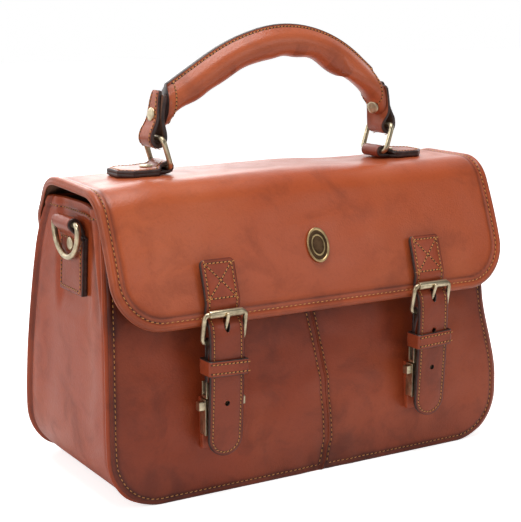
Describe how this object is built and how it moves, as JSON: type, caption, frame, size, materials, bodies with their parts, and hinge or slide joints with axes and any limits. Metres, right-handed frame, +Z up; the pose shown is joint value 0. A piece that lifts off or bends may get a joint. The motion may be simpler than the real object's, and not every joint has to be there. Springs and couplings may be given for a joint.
{
  "type": "leather briefcase",
  "caption": "Soft tan leather satchel briefcase with a full front flap, buckled straps over hidden clasps, a padded handle on rings and side rings for a shoulder strap.",
  "frame": {"origin": "on the floor under the middle of the whole bag, flap closed", "axes": "+Z up, +X to the bag's right seen from the front, the front faces -Y"},
  "size_m": [0.3608, 0.1765, 0.34],
  "materials": {
    "leather": "smooth pull-up leather with a soft sheen",
    "dark_lining": "black woven lining",
    "board": "stiff fibre board",
    "brass": "antique brass, worn pale on the edges",
    "core": "twisted cord filler"
  },
  "bodies": {
    "bag": {"front_panel_left": "leather", "front_panel_right": "leather", "back_panel": "leather", "gusset": "leather", "lining": "dark_lining", "base_board": "board", "flap_tail": "leather", "clasp_receiver_left": "brass", "clasp_receiver_right": "brass", "clasp_pad_left": "leather", "clasp_pad_right": "leather", "d_ring_tab_left": "leather", "d_ring_tab_right": "leather", "d_ring_rivets": "brass"},
    "flap": {"flap": "leather", "badge": "brass", "strap_upper_left": "leather", "strap_upper_right": "leather", "handle_base_left": "leather", "handle_base_right": "leather", "handle_base_rivets": "brass"},
    "strap_left": {"strap_tail_left": "leather", "chape_left": "leather", "buckle_frame_left": "brass", "clasp_tongue_left": "brass"},
    "roller_left": {"buckle_roller_left": "brass"},
    "prong_left": {"buckle_prong_left": "brass"},
    "keeper_left": {"keeper_left": "leather"},
    "button_left_outer": {"clasp_button_left_outer": "brass"},
    "button_left_inner": {"clasp_button_left_inner": "brass"},
    "ring_left": {"handle_ring_left": "brass"},
    "d_ring_left": {"d_ring_left": "brass"},
    "strap_right": {"strap_tail_right": "leather", "chape_right": "leather", "buckle_frame_right": "brass", "clasp_tongue_right": "brass"},
    "roller_right": {"buckle_roller_right": "brass"},
    "prong_right": {"buckle_prong_right": "brass"},
    "keeper_right": {"keeper_right": "leather"},
    "button_right_outer": {"clasp_button_right_outer": "brass"},
    "button_right_inner": {"clasp_button_right_inner": "brass"},
    "ring_right": {"handle_ring_right": "brass"},
    "d_ring_right": {"d_ring_right": "brass"},
    "handle": {"handle_grip": "leather", "handle_core": "core", "handle_loop_left": "leather", "handle_loop_right": "leather", "handle_rivets": "brass"}
  },
  "joints": [
    {"name": "flap_hinge", "type": "hinge", "parent": "bag", "child": "flap", "pos_m": [0, 0.05113, 0.21474], "axis": [-1, 0, 0], "range_deg": [0, 130]},
    {"name": "strap_lift_left", "type": "hinge", "parent": "flap", "child": "strap_left", "pos_m": [-0.0925, -0.08338, 0.14], "axis": [-1, 0, 0], "range_deg": [0, 75]},
    {"name": "roller_spin_left", "type": "hinge", "parent": "strap_left", "child": "roller_left", "pos_m": [-0.0925, -0.08338, 0.14], "axis": [1, 0, 0], "continuous": true},
    {"name": "prong_swing_left", "type": "hinge", "parent": "strap_left", "child": "prong_left", "pos_m": [-0.0925, -0.0795, 0.119], "axis": [1, 0, 0], "range_deg": [0, 8]},
    {"name": "keeper_slide_left", "type": "slide", "parent": "strap_left", "child": "keeper_left", "axis": [0, 0, 1], "range_m": [-0.00465, 0.00565]},
    {"name": "button_press_left_outer", "type": "slide", "parent": "bag", "child": "button_left_outer", "axis": [1, 0, 0], "range_m": [0, 0.002], "stiffness_N_per_m": 400, "springref_m": -0.002},
    {"name": "button_press_left_inner", "type": "slide", "parent": "bag", "child": "button_left_inner", "axis": [-1, 0, 0], "range_m": [0, 0.002], "stiffness_N_per_m": 400, "springref_m": -0.002},
    {"name": "d_ring_swing_left", "type": "hinge", "parent": "bag", "child": "d_ring_left", "pos_m": [-0.1754, 0.0035, 0.2], "axis": [0, 1, 0], "range_deg": [0, 150]},
    {"name": "strap_lift_right", "type": "hinge", "parent": "flap", "child": "strap_right", "pos_m": [0.0925, -0.08338, 0.14], "axis": [-1, 0, 0], "range_deg": [0, 75]},
    {"name": "roller_spin_right", "type": "hinge", "parent": "strap_right", "child": "roller_right", "pos_m": [0.0925, -0.08338, 0.14], "axis": [1, 0, 0], "continuous": true},
    {"name": "prong_swing_right", "type": "hinge", "parent": "strap_right", "child": "prong_right", "pos_m": [0.0925, -0.0795, 0.119], "axis": [1, 0, 0], "range_deg": [0, 8]},
    {"name": "keeper_slide_right", "type": "slide", "parent": "strap_right", "child": "keeper_right", "axis": [0, 0, 1], "range_m": [-0.00065, 0.00965]},
    {"name": "button_press_right_outer", "type": "slide", "parent": "bag", "child": "button_right_outer", "axis": [-1, 0, 0], "range_m": [0, 0.002], "stiffness_N_per_m": 400, "springref_m": -0.002},
    {"name": "button_press_right_inner", "type": "slide", "parent": "bag", "child": "button_right_inner", "axis": [1, 0, 0], "range_m": [0, 0.002], "stiffness_N_per_m": 400, "springref_m": -0.002},
    {"name": "d_ring_swing_right", "type": "hinge", "parent": "bag", "child": "d_ring_right", "pos_m": [0.1754, 0.0035, 0.2], "axis": [0, -1, 0], "range_deg": [0, 150]},
    {"name": "ring_swing_left", "type": "hinge", "parent": "flap", "child": "ring_left", "pos_m": [-0.0974, 0.0035, 0.236], "axis": [0, 1, 0], "range_deg": [-20, 20]},
    {"name": "ring_swing_right", "type": "hinge", "parent": "flap", "child": "ring_right", "pos_m": [0.0974, 0.0035, 0.236], "axis": [0, 1, 0], "range_deg": [-20, 20]},
    {"name": "handle_swing", "type": "hinge", "parent": "ring_left", "child": "handle", "pos_m": [-0.104, 0.0035, 0.2575], "axis": [0, 1, 0], "range_deg": [-19.5, 19.5]}
  ],
  "couplings": [
    {"joint": "ring_swing_right", "follows": "ring_swing_left", "ratio": 1},
    {"joint": "handle_swing", "follows": "ring_swing_left", "ratio": -0.94}
  ]
}
